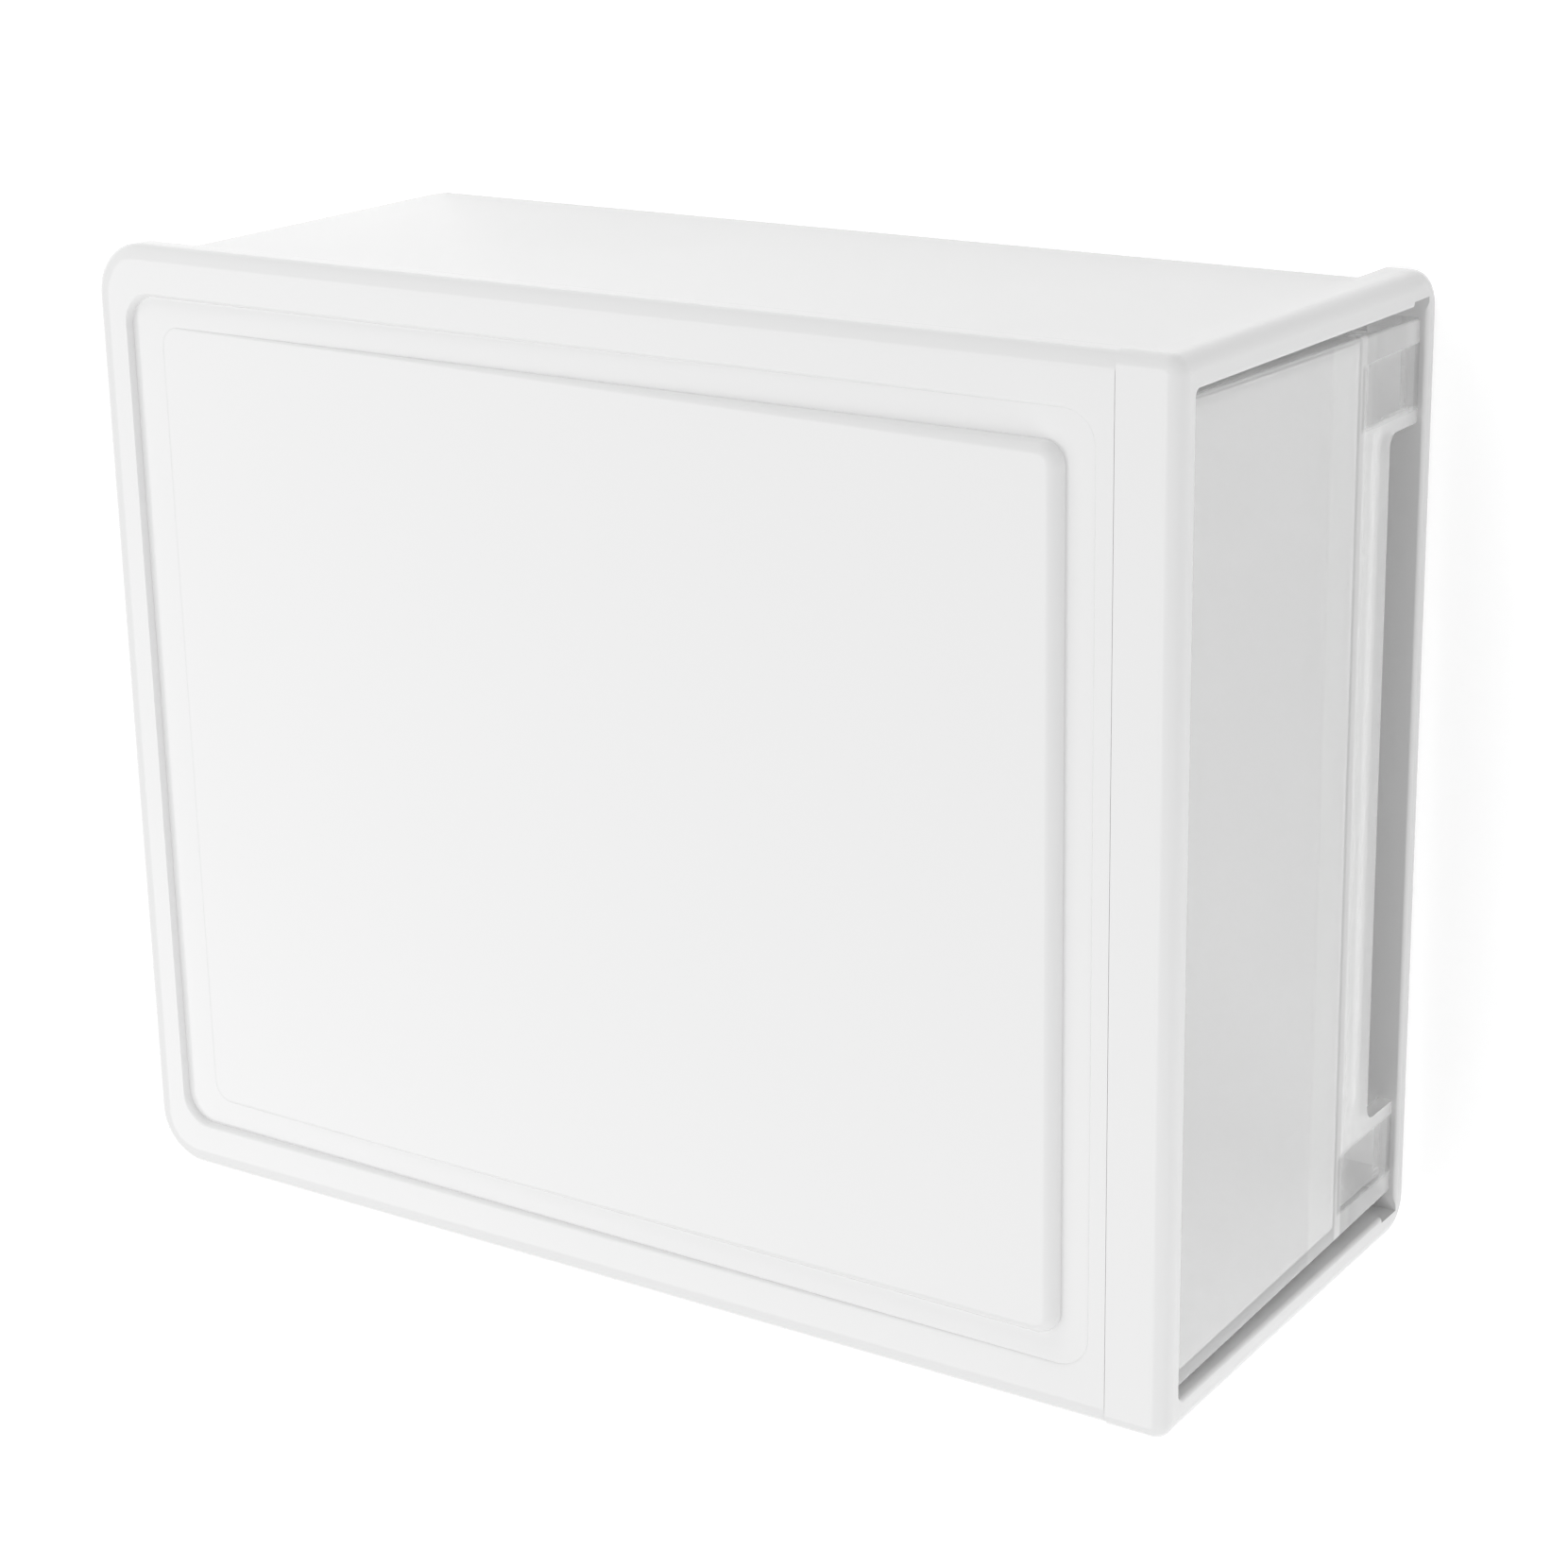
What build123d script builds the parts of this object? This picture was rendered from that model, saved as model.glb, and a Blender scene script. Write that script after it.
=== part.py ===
from build123d import *
import os

os.makedirs("parts", exist_ok=True)

# Overall size of the case
width = 280.0
depth = 343.0
rim_height = 148.0

# Wall thicknesses and clearances
wall = 2.4
clear_wall = 2.2
slide_gap = 0.3
seat_gap = 0.1
seam_gap = 0.35
overrun = 1.0
upright_share = 0.99

# Front frame
frame_depth = 17.4
frame_foot_taper = 3.0
frame_side_rail = 9.0
frame_top_rail = 8.0
frame_low_rail = 7.5
frame_foot_radius = 11.0
frame_front_round = 4.6
frame_inner_round = 1.2
opening_radius = 2.0
relief_height = 9.5
relief_width = 1.8
flare_length = 11.0
flare_lip = 0.5
tab_width = 30.0
tab_length = 8.0
tab_thick = 1.6
tab_spread_share = 0.3

# Top panel
lid_step = 0.5
edge_round = 4.0
skirt_drop = 9.0
skirt_foot_round = 1.5
corner_radius = 15.5
plate_drop = 6.5
groove_roof = 3.0
rim_side = 15.0
rim_back = 14.5
rim_front = 22.5
recess_back_drop = 3.2
recess_front_drop = 0.2
recess_radius = 9.0
recess_lean = 20.0
island_inset = 8.0
island_front_rise = 4.0
island_back_rise = 0.1
island_radius = 6.0
island_round = 3.5
island_skin = 2.5

# Side, back and bottom panels
side_inset = 6.9
back_inset = 6.0
foot_width = 12.0
foot_height = 4.6
side_corner_round = 4.0
channel_rib = 2.0
hold_rib = 1.2
hold_rib_share = 0.7
back_ledge = 3.0
runner_rise = 1.0
runner_width = 6.0
runner_spread_share = 0.8
stop_ledge_length = 8.0

# Drawer
drawer_set_back = 2.0
drawer_rear_gap = 4.0
drawer_top_gap = 2.0
drawer_side_gap = 1.6
drawer_taper = 3.4
drawer_front_round = 1.0
drawer_inner_round = 2.5
drawer_rear_round = 8.0
hollow_round = 2.5
slope_top = 43.0
slope_foot = 26.5
finger_end = 7.2
notch_width = 195.0
notch_top = 25.2
notch_radius = 4.0
notch_lip = 4.0
notch_lip_depth = 2.0
stop_width = 40.0
stop_length = 3.0
stop_set_back = 49.3
stop_spread_share = 0.45

# Places that follow from the sizes
half_width = width / 2
frame_foot_width = width - frame_foot_taper
front_y = -depth / 2
back_y = depth / 2
seam_y = front_y + frame_depth
case_y = seam_y + seat_gap
opening_low = frame_low_rail
opening_top = rim_height - frame_top_rail
skirt_low = rim_height - skirt_drop
plate_low = rim_height - plate_drop
side_top = rim_height - groove_roof
side_out = half_width - side_inset
side_in = side_out - wall
side_back = back_y - back_inset
panel_back = side_back - channel_rib
panel_front = panel_back - wall
floor_low = foot_height
floor_top = floor_low + wall
runner_top = floor_top + runner_rise
drawer_low = runner_top + slide_gap
drawer_top = opening_top - drawer_top_gap
drawer_front = front_y + drawer_set_back
drawer_back = panel_front - channel_rib - drawer_rear_gap
drawer_half_top = side_in - drawer_side_gap
drawer_half_low = drawer_half_top - drawer_taper
pane_back = drawer_front + clear_wall
tray_top = drawer_low + clear_wall


def lean_plane(y_a, z_a, y_b, z_b):
    """Plane across the width through two points of the side view, facing up."""
    return Plane(origin=(0, y_a, z_a), x_dir=(1, 0, 0), z_dir=(0, z_a - z_b, y_b - y_a))


def frame_half(z):
    """Half of the frame's outer width at a height."""
    return (frame_foot_width + (width - frame_foot_width) * z / rim_height) / 2


def opening_half(z):
    """Half of the opening's width at a height."""
    return frame_half(z) - frame_side_rail


def drawer_half(z):
    """Half of the drawer's outer width at a height."""
    return drawer_half_low + drawer_taper * (z - drawer_low) / (drawer_top - drawer_low)


def trapezoid(half_low, z_low, half_high, z_high):
    """Four-sided face, wider at one end, centred on the middle."""
    return Polygon((-half_low, z_low), (half_low, z_low), (half_high, z_high), (-half_high, z_high), align=None)


def uprights(builder):
    """Straight edges that stand nearly upright."""
    return builder.edges().filter_by(GeomType.LINE).filter_by(lambda e: abs(e.tangent_at(0).Z) > upright_share)


# Front frame: a ring of four rails that flares out from the side panels
with BuildPart() as front_frame:
    with BuildSketch(Plane.XZ.offset(-front_y)) as frame_face:
        trapezoid(frame_half(0), 0, half_width, rim_height)
        frame_corners = frame_face.vertices().sort_by(Axis.Y)
        fillet(frame_corners[:2], frame_foot_radius)
        fillet(frame_face.vertices().group_by(Axis.Y)[-1], edge_round)
    extrude(amount=-frame_depth)
    front_rim = front_frame.faces().sort_by(Axis.Y)[0].outer_wire().edges()
    fillet(front_rim, frame_front_round)
    with BuildSketch(Plane.XZ.offset(-front_y)) as opening_face:
        trapezoid(opening_half(opening_low), opening_low, opening_half(opening_top), opening_top)
        fillet(opening_face.vertices(), opening_radius)
    extrude(amount=-frame_depth, mode=Mode.SUBTRACT)
    inner_rim = front_frame.faces().sort_by(Axis.Y)[0].inner_wires()[0].edges()
    fillet(inner_rim, frame_inner_round)
    with BuildSketch(Plane.XZ.offset(-front_y)):
        with Locations((0, opening_low + relief_height / 2)):
            Rectangle(2 * (opening_half(opening_low) + relief_width), relief_height)
    extrude(amount=-frame_depth, mode=Mode.SUBTRACT)
    # The flare sweeps the outer side back down to the side panel
    with BuildSketch(Plane.XY.offset(-overrun)):
        with BuildLine():
            flare_start = (half_width + overrun, seam_y - flare_length)
            flare_end = (side_out + flare_lip, seam_y)
            Spline(flare_start, flare_end, tangents=((0, 1), (-flare_lip, flare_length)))
            Polyline(flare_end, (side_out + flare_lip, seam_y + overrun),
                     (half_width + overrun, seam_y + overrun), flare_start)
        make_face()
        mirror(about=Plane.YZ)
    extrude(amount=skirt_low + overrun, mode=Mode.SUBTRACT)
    # Tabs that reach under the top panel and under the bottom panel
    tab_places = [(0, 0), (-tab_spread_share * width, 0), (tab_spread_share * width, 0)]
    with BuildSketch(Plane.XZ.offset(-seam_y)):
        with Locations((0, plate_low - seat_gap - tab_thick / 2), (0, floor_low - seat_gap - tab_thick / 2)):
            with Locations(*tab_places):
                Rectangle(tab_width, tab_thick)
    extrude(amount=-tab_length)
front_frame.part.label = "front_frame"
export_step(front_frame.part, "parts/front_frame.step")


# Top panel: a lid with a rolled edge, a sunken stacking field and a wedge-shaped island
recess_front_y = front_y + rim_front
recess_back_y = back_y - rim_back
recess_length = recess_back_y - recess_front_y
recess_width = width - 2 * rim_side
field = lean_plane(recess_front_y, rim_height - recess_front_drop, recess_back_y, rim_height - recess_back_drop)
island_front_y = recess_front_y + island_inset
island_back_y = recess_back_y - island_inset
island_front_z = rim_height + island_front_rise
island_back_z = rim_height - recess_back_drop + island_back_rise
island = lean_plane(island_front_y, island_front_z, island_back_y, island_back_z)
island_width = recess_width - 2 * island_inset
island_length = island_back_y - island_front_y
top_front_y = seam_y + seam_gap
top_length = back_y - top_front_y

# The island is a plain rounded block, buried in the lid down to the height it shows
with BuildPart() as island_block:
    with BuildSketch(island):
        with Locations((0, island_length / 2)):
            RectangleRounded(island_width, island_length, island_radius)
    extrude(amount=-plate_drop)
    island_top = island_block.faces().sort_by(SortBy.AREA)[-2:].sort_by(Axis.Z)[-1]
    fillet(island_top.outer_wire().edges(), island_round)

with BuildPart() as top_panel:
    with BuildSketch(Plane.XY.offset(skirt_low)) as lid_outline:
        with Locations((0, top_front_y + top_length / 2)):
            Rectangle(width - 2 * lid_step, top_length)
        fillet(lid_outline.vertices().group_by(Axis.Y)[-1], corner_radius)
    extrude(amount=skirt_drop)
    lid_top_edges = top_panel.faces().sort_by(Axis.Z)[-1].outer_wire().edges().sort_by(Axis.Y)[1:]
    fillet(lid_top_edges, edge_round)
    lid_low_edges = top_panel.faces().sort_by(Axis.Z)[0].outer_wire().edges().sort_by(Axis.Y)[1:]
    fillet(lid_low_edges, skirt_foot_round)
    # Sunken field for the box above, deepest at the back
    with BuildSketch(field):
        with Locations((0, recess_length / 2)):
            RectangleRounded(recess_width, recess_length, recess_radius)
    extrude(amount=skirt_drop, taper=-recess_lean, mode=Mode.SUBTRACT)
    add(island_block.part)
    # Hollow under the plate, with grooves for the side panels
    under_length = side_back + seat_gap - top_front_y
    under_mid_y = top_front_y + under_length / 2
    hollow_low = skirt_low - plate_drop
    with BuildSketch(Plane.XY.offset(hollow_low)):
        with Locations((0, under_mid_y - overrun / 2)):
            Rectangle(2 * (side_out + seat_gap), under_length + overrun)
    extrude(amount=plate_low - hollow_low, mode=Mode.SUBTRACT)
    groove_mid_x = (side_in + side_out) / 2
    with BuildSketch(Plane.XY.offset(skirt_low)):
        with Locations((-groove_mid_x, under_mid_y - overrun / 2), (groove_mid_x, under_mid_y - overrun / 2)):
            Rectangle(wall + 2 * seat_gap, under_length + overrun)
    extrude(amount=side_top - skirt_low, mode=Mode.SUBTRACT)
    # The island is cored out from below to an even skin
    with BuildSketch(island.offset(-island_skin)):
        with Locations((0, island_length / 2)):
            Rectangle(island_width - 2 * island_skin, island_length - 2 * island_skin)
    extrude(amount=-skirt_drop, mode=Mode.SUBTRACT)
top_panel.part.label = "top_panel"
export_step(top_panel.part, "parts/top_panel.step")

# Right side panel: a flat wall on a foot, with a channel for the back panel
with BuildPart() as right_side_panel:
    with BuildSketch(Plane.YZ.offset(side_in)) as side_face:
        with BuildLine():
            Polyline((case_y, 0), (side_back, 0), (side_back, side_top), (case_y, side_top), close=True)
        make_face()
        fillet(side_face.vertices().group_by(Axis.Y)[0].sort_by(Axis.X)[-1], side_corner_round)
    extrude(amount=wall)
    # Foot that carries the bottom panel
    foot_length = panel_front - seat_gap - case_y
    with BuildSketch(Plane.XY):
        with Locations((side_out - foot_width / 2, case_y + foot_length / 2)):
            Rectangle(foot_width, foot_length)
    extrude(amount=foot_height)
    # Ribs on both sides of the back panel's edge
    rib_low = floor_top + seat_gap
    rib_height = plate_low - seat_gap - rib_low
    front_rib_y = panel_front - seat_gap - channel_rib / 2
    rear_rib_y = panel_back + seat_gap + (side_back - panel_back - seat_gap) / 2
    with BuildSketch(Plane.XY.offset(rib_low)):
        with Locations((side_in - channel_rib / 2, front_rib_y)):
            Rectangle(channel_rib, channel_rib)
        with Locations((side_in - channel_rib / 2, rear_rib_y)):
            Rectangle(channel_rib, side_back - panel_back - seat_gap)
    extrude(amount=rib_height)
    # Rib that holds the bottom panel down on the foot
    with BuildSketch(Plane.XY.offset(rib_low)):
        with Locations((side_in - hold_rib / 2, case_y + foot_length / 2)):
            Rectangle(hold_rib, foot_length * hold_rib_share)
    extrude(amount=hold_rib)
right_side_panel.part.label = "right_side_panel"
export_step(right_side_panel.part, "parts/right_side_panel.step")

# Left side panel: the right one mirrored
with BuildPart() as left_side_panel:
    mirror(right_side_panel.part, about=Plane.YZ)
left_side_panel.part.label = "left_side_panel"
export_step(left_side_panel.part, "parts/left_side_panel.step")

# Back panel: a flat wall held in the side panels' channels
panel_half = side_in - seat_gap
with BuildPart() as back_panel:
    with BuildSketch(Plane.XZ.offset(-panel_front)):
        with Locations((0, (plate_low - seat_gap) / 2)):
            Rectangle(2 * panel_half, plate_low - seat_gap)
    extrude(amount=-wall)
    # Ledge under the bottom panel's back edge
    ledge_half = side_out - foot_width - seat_gap
    with BuildSketch(Plane.XZ.offset(-panel_front)):
        with Locations((0, floor_low - wall / 2)):
            Rectangle(2 * ledge_half, wall)
    extrude(amount=back_ledge)
back_panel.part.label = "back_panel"
export_step(back_panel.part, "parts/back_panel.step")

# Bottom panel: a flat floor with two runners and a stop ledge for the drawer
floor_back = panel_front - seat_gap
with BuildPart() as bottom_panel:
    with BuildSketch(Plane.XY.offset(floor_low)):
        with Locations((0, (case_y + floor_back) / 2)):
            Rectangle(2 * panel_half, floor_back - case_y)
    extrude(amount=wall)
    ledge_back_y = case_y + stop_ledge_length
    runner_length = drawer_back - ledge_back_y
    runner_x = runner_spread_share * half_width
    with BuildSketch(Plane.XY.offset(floor_top)):
        with Locations((0, case_y + stop_ledge_length / 2)):
            Rectangle(2 * drawer_half_low, stop_ledge_length)
        with Locations((-runner_x, ledge_back_y + runner_length / 2), (runner_x, ledge_back_y + runner_length / 2)):
            Rectangle(runner_width, runner_length)
    extrude(amount=runner_rise)
bottom_panel.part.label = "bottom_panel"
export_step(bottom_panel.part, "parts/bottom_panel.step")

# Hollow of the drawer: leaning sides, flat floor and a sloped front above the finger space
with BuildPart() as tray_hollow:
    with BuildSketch(Plane.XZ.offset(-pane_back)):
        trapezoid(drawer_half(tray_top) - clear_wall, tray_top,
                  drawer_half(drawer_top + overrun) - clear_wall, drawer_top + overrun)
    extrude(amount=-(drawer_back - clear_wall - pane_back))
    with BuildSketch(Plane.YZ):
        with BuildLine():
            Polyline((pane_back, drawer_top + overrun), (pane_back, slope_top), (front_y + slope_foot, tray_top),
                     (drawer_back - clear_wall, tray_top), (drawer_back - clear_wall, drawer_top + overrun),
                     close=True)
        make_face()
    extrude(amount=half_width, both=True, mode=Mode.INTERSECT)
    fillet(uprights(tray_hollow).group_by(Axis.Y)[0], drawer_inner_round)
    fillet(uprights(tray_hollow).group_by(Axis.Y)[-1], drawer_rear_round - clear_wall)
    fillet(tray_hollow.faces().sort_by(Axis.Z)[0].outer_wire().edges(), hollow_round)

# Drawer: a clear tub whose front hangs down as a skirt with a finger notch
slope_run = front_y + slope_foot - pane_back
slope_rise = slope_top - tray_top
slope_skin = clear_wall * (slope_run ** 2 + slope_rise ** 2) ** 0.5
finger_top = slope_top - slope_skin / slope_run
finger_low = drawer_low - overrun
finger_back = pane_back + (finger_top - finger_low) * slope_run / slope_rise
finger_half = drawer_half_low - finger_end
stop_y = drawer_back - stop_set_back
with BuildPart() as drawer:
    with BuildSketch(Plane.XZ.offset(-drawer_front)):
        trapezoid(drawer_half_low, drawer_low, drawer_half_top, drawer_top)
    extrude(amount=-(drawer_back - drawer_front))
    fillet(uprights(drawer).group_by(Axis.Y)[0], drawer_front_round)
    fillet(uprights(drawer).group_by(Axis.Y)[-1], drawer_rear_round)
    add(tray_hollow.part, mode=Mode.SUBTRACT)
    # Finger space between the front and the slope, open underneath
    with BuildSketch(Plane.YZ):
        with BuildLine():
            Polyline((pane_back, finger_low), (pane_back, finger_top), (finger_back, finger_low), close=True)
        make_face()
    extrude(amount=finger_half, both=True, mode=Mode.SUBTRACT)
    # Raised lip along the lower edge and around the notch, on the back of the front
    with BuildSketch(Plane.XZ.offset(-pane_back)) as lip_face:
        lip_height = notch_top + notch_lip - drawer_low
        with Locations((0, drawer_low + lip_height / 2)):
            Rectangle(notch_width + 2 * notch_lip, lip_height)
        fillet(lip_face.vertices().group_by(Axis.Y)[-1], notch_radius + notch_lip)
        with Locations((0, drawer_low + notch_lip / 2)):
            Rectangle(2 * finger_half, notch_lip)
    extrude(amount=-notch_lip_depth)
    with BuildSketch(Plane.XZ.offset(-drawer_front + overrun)) as notch_face:
        notch_height = notch_top - finger_low
        with Locations((0, finger_low + notch_height / 2)):
            Rectangle(notch_width, notch_height)
        fillet(notch_face.vertices().group_by(Axis.Y)[-1], notch_radius)
    extrude(amount=-(clear_wall + notch_lip_depth + 2 * overrun), mode=Mode.SUBTRACT)
    # Stops that meet the bottom panel's ledge when the drawer is pulled out
    stop_x = stop_spread_share * half_width
    with BuildSketch(Plane.XY.offset(drawer_low)):
        with Locations((-stop_x, stop_y), (stop_x, stop_y)):
            Rectangle(stop_width, stop_length)
    extrude(amount=-runner_rise)
drawer.part.label = "drawer"
export_step(drawer.part, "parts/drawer.step")
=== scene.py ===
"""Plastic storage box: a glossy white case with a clear drawer, in a plain white studio."""
import math

import bpy
from mathutils import Matrix, Vector


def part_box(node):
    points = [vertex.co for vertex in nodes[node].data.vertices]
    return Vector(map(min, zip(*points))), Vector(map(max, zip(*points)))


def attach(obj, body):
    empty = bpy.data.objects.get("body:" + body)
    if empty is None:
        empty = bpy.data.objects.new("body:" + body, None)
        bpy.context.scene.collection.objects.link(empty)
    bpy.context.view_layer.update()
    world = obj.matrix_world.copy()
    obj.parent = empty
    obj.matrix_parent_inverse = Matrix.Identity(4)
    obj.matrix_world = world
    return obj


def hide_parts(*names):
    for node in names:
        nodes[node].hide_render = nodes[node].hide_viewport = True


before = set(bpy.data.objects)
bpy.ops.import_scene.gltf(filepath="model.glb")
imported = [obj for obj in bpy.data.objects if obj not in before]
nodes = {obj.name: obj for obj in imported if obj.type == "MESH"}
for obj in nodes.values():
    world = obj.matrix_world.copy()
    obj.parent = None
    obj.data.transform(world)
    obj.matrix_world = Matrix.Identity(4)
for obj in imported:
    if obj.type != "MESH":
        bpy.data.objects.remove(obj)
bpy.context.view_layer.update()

# Camera of the photograph, in metres and degrees; lens and sensor in millimetres
camera_place = Vector((0.3021, -0.5363, 0.8568))
camera_aim = Vector((0.0373, -0.0776, 0.1480))
camera_roll = -115.59
camera_lens = 80.6
camera_sensor = 36.0
camera_shift = (-0.0380, -0.0389)

# Plain white studio, in metres and watts
studio_white = (1.0, 1.0, 1.0, 1.0)
world_strength = 0.48
floor_half = 6.0
floor_colour = (0.86, 0.86, 0.86, 1.0)
floor_glow = (0.46, 0.60)
floor_glow_reach = (0.9, 2.2)
key_lamp = {"place": (1.6, 0.45, 0.70), "aim": (0, 0, 0.07), "size": (1.2, 1.2), "watts": 8.2}
back_lamp = {"place": (-0.38, 0.82, 1.25), "aim": (-0.38, 0.82, 0.0), "size": (1.45, 1.7), "watts": 9.5}
front_lamp = {"place": (-0.85, -1.35, 0.75), "aim": (0, -0.17, 0.07), "size": (1.0, 1.0), "watts": 9.0}

# Lid, in metres; its outline follows the CAD lid's box
lid_low, lid_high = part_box("top_panel")
rim_height = 0.148
lid_corner = 0.0155
lid_front_corner = 0.0002
lid_least_corner = 0.0005
roll_run = 0.0060
roll_drop = 0.0034
skirt_foot = 0.0012
seam_cover = 0.0002
skirt_thick = 0.0060
lid_skin = 0.0025

# Sunken field and wedge-shaped island in the lid, in metres
field_half = 0.125
field_front = -0.149
field_back = 0.1599
field_corner = 0.009
field_front_drop = 0.0002
field_back_drop = 0.0024
field_side_round = 0.0015
field_end_round = 0.0004
island_inset = 0.008
island_front = field_front + island_inset
island_back = 0.149
island_corner = 0.006
island_front_rise = 0.00398
island_back_rise = 0.0001
island_round_share = 0.85
island_least_round = 0.0010

# Gate mark on the lid, in metres; each ring is a share of the radius and of the rise
gate_place = (0.072, 0.077)
gate_radius = 0.0030
gate_rise = 0.00005
gate_rings = ((1.0, 0.0), (0.85, 0.6), (0.5, 0.9), (0.2, 1.0))
gate_sides = 24

# Fineness of the lid's mesh
round_steps = 8
corner_steps = 10
edge_runs = 14
long_edge_corners = 4
sharp_angle = 35
quarter_turn = [math.radians(90 * step / round_steps) for step in range(round_steps + 1)]

# White plastic: colour, roughness from glossy to hazy, and bump heights in metres
case_colour = (0.86, 0.86, 0.86, 1.0)
tone_share = 0.985
case_gloss = (0.04, 0.09)
frame_gloss = (0.08, 0.15)
white_ior = 1.49
tone_noise = {"scale": 6.0, "detail": 2.0}
haze_noise = {"scale": 14.0, "detail": 4.0, "distortion": 0.6}
wave_noise = {"scale": 5.0, "detail": 1.0}
wave_height = 0.0040
skin_noise = {"scale": 900.0, "detail": 2.0}
skin_height = 0.000004
noise_range = (0.3, 0.7)

# Clear plastic: colours, shares of the light let through, roughness and bump height in metres
clear_colour = (0.96, 0.96, 0.96, 1.0)
# The tub's grey tint, which at the ends of the finger space is also painted shade
tub_tint_and_shade_colour = (0.85, 0.85, 0.85, 1.0)
lamp_colour = (0.99, 0.99, 0.99, 1.0)
clear_shares = (0.62, 0.93)
crease_shares = (1.0, 0.6)
band_share = 0.22
clear_ior = 1.12
coat_ior = 1.5
coat_gloss = 0.03
clear_gloss = (0.02, 0.05)
clear_haze_noise = {"scale": 30.0, "detail": 4.0, "distortion": 0.5}
clear_wave_noise = {"scale": 10.0, "detail": 1.0}
clear_wave_height = 0.0004

# Places in the drawer where the plastic looks clearer or milkier, or carries painted shade, in metres, each
# from none to full
tub_front = (-0.1645, -0.1635)
# Ends of the finger space: clearer plastic, and a darker colour there that is painted shade
finger_end_inner = (0.1010, 0.1025)
finger_end_outer = (0.1195, 0.1180)
finger_end_top = (0.0440, 0.0425)
crease_foot = (0.0400, 0.0415)
crease_top = (0.0455, 0.0440)
band_foot = (0.0345, 0.0365)
band_top = (0.0625, 0.0605)
pane_back = (-0.1600, -0.1630)


def new_material(name):
    """A node material with a Principled shader, as (material, tree, shader)."""
    material = bpy.data.materials.new(name)
    material.use_nodes = True
    tree = material.node_tree
    return material, tree, tree.nodes["Principled BSDF"]


def own_place(tree):
    """The object's own coordinates, which travel with it."""
    return tree.nodes.new("ShaderNodeTexCoord").outputs["Object"]


def noise(tree, place, scale, detail, distortion=0.0):
    """A noise texture on the object's own coordinates."""
    node = tree.nodes.new("ShaderNodeTexNoise")
    node.inputs["Scale"].default_value = scale
    node.inputs["Detail"].default_value = detail
    node.inputs["Distortion"].default_value = distortion
    tree.links.new(place, node.inputs["Vector"])
    return node.outputs["Fac"]


def mapped(tree, value, start, end=(0.0, 1.0)):
    """A value mapped from one range onto another, and held at its ends."""
    node = tree.nodes.new("ShaderNodeMapRange")
    node.inputs["From Min"].default_value, node.inputs["From Max"].default_value = start
    node.inputs["To Min"].default_value, node.inputs["To Max"].default_value = end
    tree.links.new(value, node.inputs["Value"])
    return node.outputs["Result"]


def joined(tree, operation, *values):
    """Values and plain numbers joined by a Math node."""
    node = tree.nodes.new("ShaderNodeMath")
    node.operation = operation
    for socket, value in zip(node.inputs, values):
        if isinstance(value, float):
            socket.default_value = value
        else:
            tree.links.new(value, socket)
    return node.outputs["Value"]


def between(tree, share, first, second):
    """A colour between two others, by a share."""
    node = tree.nodes.new("ShaderNodeMix")
    node.data_type = "RGBA"
    node.inputs["A"].default_value = first
    node.inputs["B"].default_value = second
    tree.links.new(share, node.inputs["Factor"])
    return node.outputs["Result"]


def bump(tree, height, distance, below=None):
    """A bump of a real height in metres, on top of another bump where one is given."""
    node = tree.nodes.new("ShaderNodeBump")
    node.inputs["Strength"].default_value = 1.0
    node.inputs["Distance"].default_value = distance
    tree.links.new(height, node.inputs["Height"])
    if below is not None:
        tree.links.new(below, node.inputs["Normal"])
    return node.outputs["Normal"]


def split(tree, place):
    """The three coordinates of a place."""
    node = tree.nodes.new("ShaderNodeSeparateXYZ")
    tree.links.new(place, node.inputs["Vector"])
    return node.outputs["X"], node.outputs["Y"], node.outputs["Z"]


def white_plastic(name, gloss):
    """Glossy moulded plastic: slight waves from cooling, faint handling haze and a clean white."""
    material, tree, shader = new_material(name)
    place = own_place(tree)
    toned = tuple(tone_share * part for part in case_colour[:3]) + (1.0,)
    colour = between(tree, noise(tree, place, **tone_noise), case_colour, toned)
    tree.links.new(colour, shader.inputs["Base Color"])
    haze = mapped(tree, noise(tree, place, **haze_noise), noise_range, gloss)
    tree.links.new(haze, shader.inputs["Roughness"])
    waves = bump(tree, noise(tree, place, **wave_noise), wave_height)
    skin = bump(tree, noise(tree, place, **skin_noise), skin_height, waves)
    tree.links.new(skin, shader.inputs["Normal"])
    shader.inputs["IOR"].default_value = white_ior
    return material


def tub_and_painted_shade_places(tree, place):
    """One in the tub, where the drawer is thinnest and clearest, and at the ends of the finger space, which
    are clearer and take the tub's darker colour as painted shade.
    """
    sideways, ahead, up = split(tree, place)
    across = joined(tree, "ABSOLUTE", sideways)
    tub = mapped(tree, ahead, tub_front)
    past_inner = mapped(tree, across, finger_end_inner)
    before_outer = mapped(tree, across, finger_end_outer)
    ends = joined(tree, "MULTIPLY", past_inner, before_outer)
    # Low ends of the finger space, which get painted shade through the darker tub colour
    low_ends = joined(tree, "MULTIPLY", ends, mapped(tree, up, finger_end_top))
    return joined(tree, "MAXIMUM", tub, low_ends)


def thick_places(tree, place):
    """One along the thick crease at the foot of the pane, and less in a band around it."""
    _, ahead, up = split(tree, place)
    crease = joined(tree, "MULTIPLY", mapped(tree, up, crease_foot), mapped(tree, up, crease_top))
    band = joined(tree, "MULTIPLY", mapped(tree, up, band_foot), mapped(tree, up, band_top))
    thick = joined(tree, "MAXIMUM", crease, joined(tree, "MULTIPLY", band, band_share))
    return joined(tree, "MULTIPLY", thick, mapped(tree, ahead, pane_back))


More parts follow.
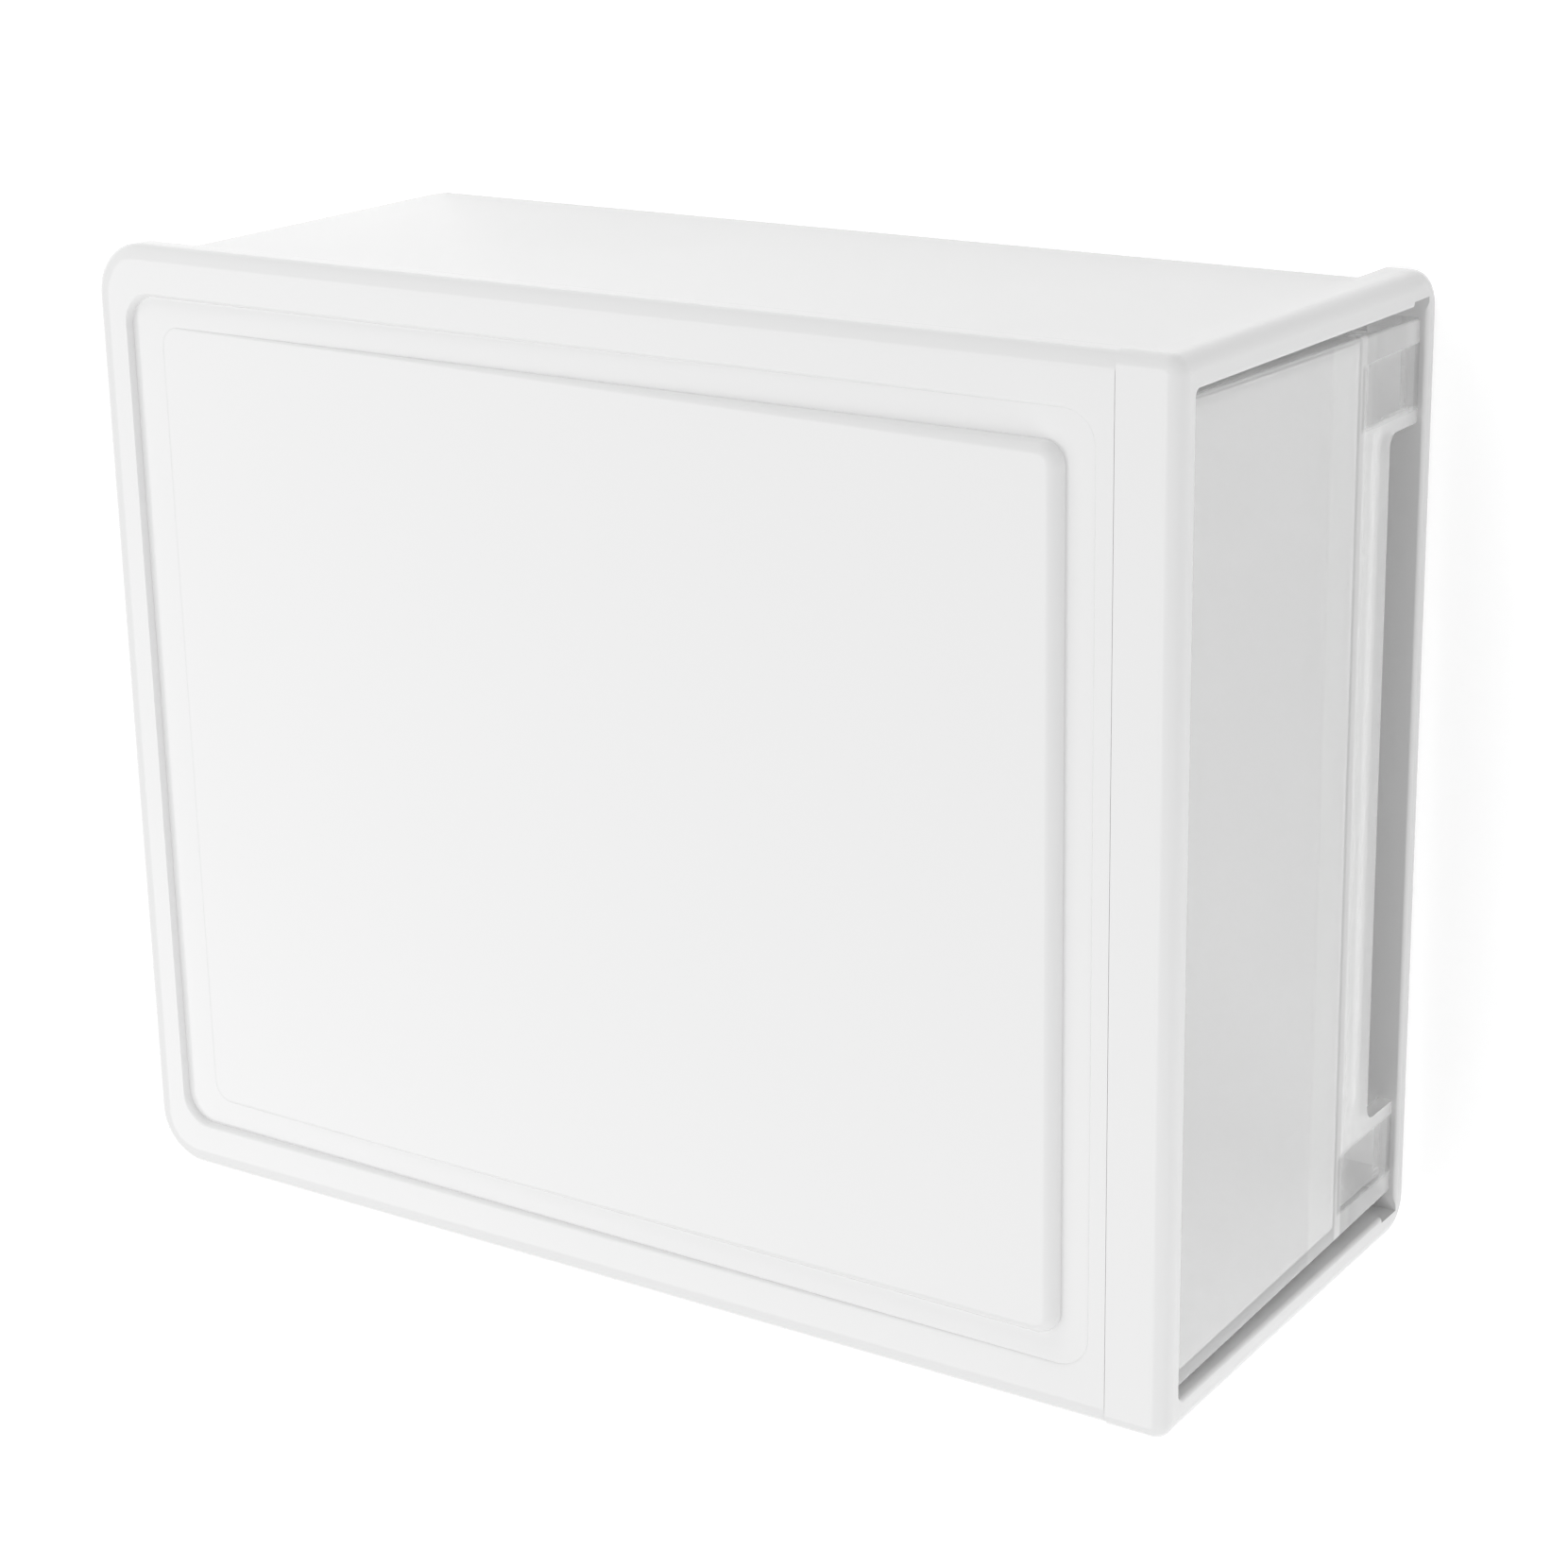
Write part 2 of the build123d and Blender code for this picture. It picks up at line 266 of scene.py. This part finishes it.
def clear_plastic(name):
    """Clear moulded plastic that lets the lamps reach what is behind it."""
    material, tree, shader = new_material(name)
    place = own_place(tree)
    tub_or_painted_shade = tub_and_painted_shade_places(tree, place)
    # Darker colour: in the tub it is the tint, at the finger-space ends it is painted shade
    tree.links.new(between(tree, tub_or_painted_shade, clear_colour, tub_tint_and_shade_colour), shader.inputs["Base Color"])
    let_through = mapped(tree, tub_or_painted_shade, (0.0, 1.0), clear_shares)
    kept = mapped(tree, thick_places(tree, place), (0.0, 1.0), crease_shares)
    tree.links.new(joined(tree, "MULTIPLY", let_through, kept), shader.inputs["Transmission Weight"])
    shader.inputs["IOR"].default_value = clear_ior
    shader.inputs["Coat Weight"].default_value = 1.0
    shader.inputs["Coat Roughness"].default_value = coat_gloss
    shader.inputs["Coat IOR"].default_value = coat_ior
    haze = mapped(tree, noise(tree, place, **clear_haze_noise), noise_range, clear_gloss)
    tree.links.new(haze, shader.inputs["Roughness"])
    waves = bump(tree, noise(tree, place, **clear_wave_noise), clear_wave_height)
    tree.links.new(waves, shader.inputs["Normal"])
    # Lamps shine straight through
    through = tree.nodes.new("ShaderNodeBsdfTransparent")
    through.inputs["Color"].default_value = lamp_colour
    path = tree.nodes.new("ShaderNodeLightPath")
    mixed = tree.nodes.new("ShaderNodeMixShader")
    tree.links.new(path.outputs["Is Shadow Ray"], mixed.inputs["Fac"])
    tree.links.new(shader.outputs["BSDF"], mixed.inputs[1])
    tree.links.new(through.outputs["BSDF"], mixed.inputs[2])
    tree.links.new(mixed.outputs["Shader"], tree.nodes["Material Output"].inputs["Surface"])
    return material


def dress(node, material):
    """Gives a CAD node its material."""
    mesh = nodes[node].data
    mesh.materials.clear()
    mesh.materials.append(material)


def rounded_loop(half, front, back, front_corner, back_corner):
    """Points of a rounded rectangle seen from above, each with its outward direction."""
    corners = [(half, back, back_corner, 0), (-half, back, back_corner, 90),
               (-half, front, front_corner, 180), (half, front, front_corner, 270)]
    loop = []
    for x, y, radius, start in corners:
        middle = Vector((x - math.copysign(radius, x), y - math.copysign(radius, y - (front + back) / 2)))
        for step in range(corner_steps + 1):
            angle = math.radians(start + 90 * step / corner_steps)
            out = Vector((math.cos(angle), math.sin(angle)))
            loop.append((middle + radius * out, out))
    # The four long edges get points in between
    filled = []
    for (point, out), (after, _) in zip(loop, loop[1:] + loop[:1]):
        filled.append((point, out))
        if (after - point).length > long_edge_corners * (front_corner + back_corner):
            filled += [(point.lerp(after, run / edge_runs), out) for run in range(1, edge_runs)]
    return filled


def skin_mesh(name, rings, material):
    """A smooth closed skin through rings of points, capped at both ends."""
    mesh = bpy.data.meshes.new(name)
    count = len(rings[0])
    last = (len(rings) - 1) * count
    faces = []
    for start in range(0, last, count):
        for k in range(count):
            after = (k + 1) % count
            faces.append((start + k, start + after, start + count + after, start + count + k))
    faces.append(tuple(reversed(range(count))))
    faces.append(tuple(range(last, last + count)))
    mesh.from_pydata([tuple(point) for ring in rings for point in ring], [], faces)
    mesh.shade_smooth()
    mesh.set_sharp_from_angle(angle=math.radians(sharp_angle))
    mesh.materials.append(material)
    made = bpy.data.objects.new(name, mesh)
    made.modifiers.new("even_flats", "WEIGHTED_NORMAL").keep_sharp = True
    bpy.context.scene.collection.objects.link(made)
    return made


def field_height(y):
    """Height of the sunken field, deepest at the back."""
    share = (y - field_front) / (field_back - field_front)
    return rim_height - field_front_drop - share * (field_back_drop - field_front_drop)


def island_rise(y):
    """Height of the island above the field."""
    share = (y - island_front) / (island_back - island_front)
    front = rim_height + island_front_rise
    back = field_height(island_back) + island_back_rise
    return front + share * (back - front) - field_height(y)


def outer_ring(inset, z):
    """The lid's outline at a height, drawn in from the sides and the back."""
    loop = rounded_loop(lid_high[0] - inset, lid_low[1] - seam_cover, lid_high[1] - inset,
                        lid_front_corner, max(lid_corner - inset, lid_least_corner))
    return [(point.x, point.y, z) for point, _ in loop]


def underside_rings():
    """The island's hollow, the underside of the plate and the inner face of the skirt."""
    hollow = rounded_loop(field_half - island_inset - lid_skin, island_front + lid_skin,
                          island_back - lid_skin, island_corner, island_corner)
    roof = [(p.x, p.y, field_height(p.y) + island_rise(p.y) - lid_skin) for p, _ in hollow]
    plate_inner = [(p.x, p.y, field_height(p.y) - lid_skin) for p, _ in hollow]
    plate_outer = [(x, y, field_height(y) - lid_skin) for x, y, _ in outer_ring(skirt_thick, rim_height)]
    return [roof, plate_inner, plate_outer, outer_ring(skirt_thick, lid_low[2])]


def edge_rings():
    """The skirt's rounded foot and the rolled edge above it."""
    rings = []
    for a in quarter_turn:
        rings.append(outer_ring(skirt_foot * (1 - math.sin(a)), lid_low[2] + skirt_foot * (1 - math.cos(a))))
    for a in quarter_turn:
        rings.append(outer_ring(roll_run * (1 - math.cos(a)), rim_height - roll_drop * (1 - math.sin(a))))
    return rings


def brim_rings():
    """The rounded brim that leads down into the sunken field."""
    rings = []
    for a in quarter_turn:
        ring = []
        for p, out in rounded_loop(field_half, field_front, field_back, field_corner, field_corner):
            brim = field_side_round * abs(out.x) + field_end_round * abs(out.y)
            place = p + out * brim * (1 - math.sin(a))
            ring.append((place.x, place.y, rim_height - (rim_height - field_height(p.y)) * (1 - math.cos(a))))
        rings.append(ring)
    return rings


def island_rings():
    """The island's round wall, from the field up to its top."""
    half = field_half - island_inset
    rings = []
    for a in quarter_turn:
        ring = []
        for p, out in rounded_loop(half, island_front, island_back, island_corner, island_corner):
            inward = max(island_round_share * island_rise(p.y), island_least_round)
            place = p - out * inward * (1 - math.cos(a))
            ring.append((place.x, place.y, field_height(place.y) + island_rise(place.y) * math.sin(a)))
        rings.append(ring)
    return rings


def lid(material):
    """The lid with a soft rolled edge, a sunken field with a rounded brim and a wedge-shaped island."""
    rings = underside_rings() + edge_rings() + brim_rings() + island_rings()
    return skin_mesh("lid", rings, material)


def gate_mark(material):
    """The faint round mark where the plastic entered the lid's mould."""
    x, y = gate_place
    ground = field_height(y) + island_rise(y)
    turn = [math.radians(360 * side / gate_sides) for side in range(gate_sides)]
    rings = []
    for share, rise in gate_rings:
        radius = share * gate_radius
        height = ground + rise * gate_rise
        rings.append([(x + radius * math.cos(a), y + radius * math.sin(a), height) for a in turn])
    return skin_mesh("gate_mark", rings, material)


def seen_rays(tree):
    """One for rays that the camera sees straight, in a reflection or through clear plastic."""
    path = tree.nodes.new("ShaderNodeLightPath")
    seen = joined(tree, "MAXIMUM", path.outputs["Is Camera Ray"], path.outputs["Is Glossy Ray"])
    return joined(tree, "MAXIMUM", seen, path.outputs["Is Transmission Ray"])


def studio_floor():
    """A pale floor that reads white to the camera, more so far away, and keeps the box's shadow."""
    mesh = bpy.data.meshes.new("floor")
    corners = [(-floor_half, -floor_half, 0), (floor_half, -floor_half, 0),
               (floor_half, floor_half, 0), (-floor_half, floor_half, 0)]
    mesh.from_pydata(corners, [], [(0, 1, 2, 3)])
    floor = bpy.data.objects.new("floor", mesh)
    bpy.context.scene.collection.objects.link(floor)
    material, tree, shader = new_material("floor_white")
    shader.inputs["Base Color"].default_value = floor_colour
    shader.inputs["Roughness"].default_value = 1.0
    shader.inputs["Specular IOR Level"].default_value = 0.0
    shader.inputs["Emission Color"].default_value = studio_white
    reach = tree.nodes.new("ShaderNodeVectorMath")
    reach.operation = "LENGTH"
    tree.links.new(own_place(tree), reach.inputs[0])
    level = mapped(tree, reach.outputs["Value"], floor_glow_reach, floor_glow)
    glow = joined(tree, "MULTIPLY", seen_rays(tree), level)
    tree.links.new(glow, shader.inputs["Emission Strength"])
    mesh.materials.append(material)


def studio_world():
    """An even surround that lights the box softly and reads white to the camera."""
    world = bpy.data.worlds.new("studio")
    world.use_nodes = True
    tree = world.node_tree
    background = tree.nodes["Background"]
    background.inputs["Color"].default_value = studio_white
    strength = joined(tree, "MULTIPLY_ADD", seen_rays(tree), 1.0 - world_strength, world_strength)
    tree.links.new(strength, background.inputs["Strength"])
    bpy.context.scene.world = world


def softbox(name, place, aim, size, watts, mirrored=False):
    """An area lamp that faces a point; only a mirrored one shows in glossy surfaces."""
    lamp = bpy.data.lights.new(name, "AREA")
    lamp.shape = "RECTANGLE"
    lamp.size, lamp.size_y = size
    lamp.energy = watts
    holder = bpy.data.objects.new(name, lamp)
    holder.location = place
    holder.rotation_euler = (Vector(aim) - Vector(place)).to_track_quat("-Z", "Y").to_euler()
    holder.visible_glossy = mirrored
    bpy.context.scene.collection.objects.link(holder)


def photo_camera():
    """The camera at the photograph's place, rolled because the box lies on its side there."""
    data = bpy.data.cameras.new("camera")
    data.lens = camera_lens
    data.sensor_width = camera_sensor
    data.shift_x, data.shift_y = camera_shift
    camera = bpy.data.objects.new("camera", data)
    level = (camera_aim - camera_place).to_track_quat("-Z", "Y").to_matrix()
    turn = Matrix.Rotation(math.radians(camera_roll), 3, "Z")
    camera.matrix_world = Matrix.Translation(camera_place) @ (level @ turn).to_4x4()
    bpy.context.scene.collection.objects.link(camera)
    bpy.context.scene.camera = camera


# Materials of the CAD nodes
case_white = white_plastic("case_white", case_gloss)
frame_white = white_plastic("frame_white", frame_gloss)
drawer_clear = clear_plastic("drawer_clear")
for node in ("top_panel", "right_side_panel", "left_side_panel", "back_panel", "bottom_panel"):
    dress(node, case_white)
dress("front_frame", frame_white)
dress("drawer", drawer_clear)

# Pieces that are finer than the CAD
for piece in (lid(case_white), gate_mark(case_white)):
    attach(piece, "case")
    if piece.name == "lid":
        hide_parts("top_panel")

# Studio and camera
studio_floor()
studio_world()
softbox("key", **key_lamp)
softbox("back", **back_lamp, mirrored=True)
softbox("front", **front_lamp)
photo_camera()
bpy.context.scene.view_settings.view_transform = "Standard"
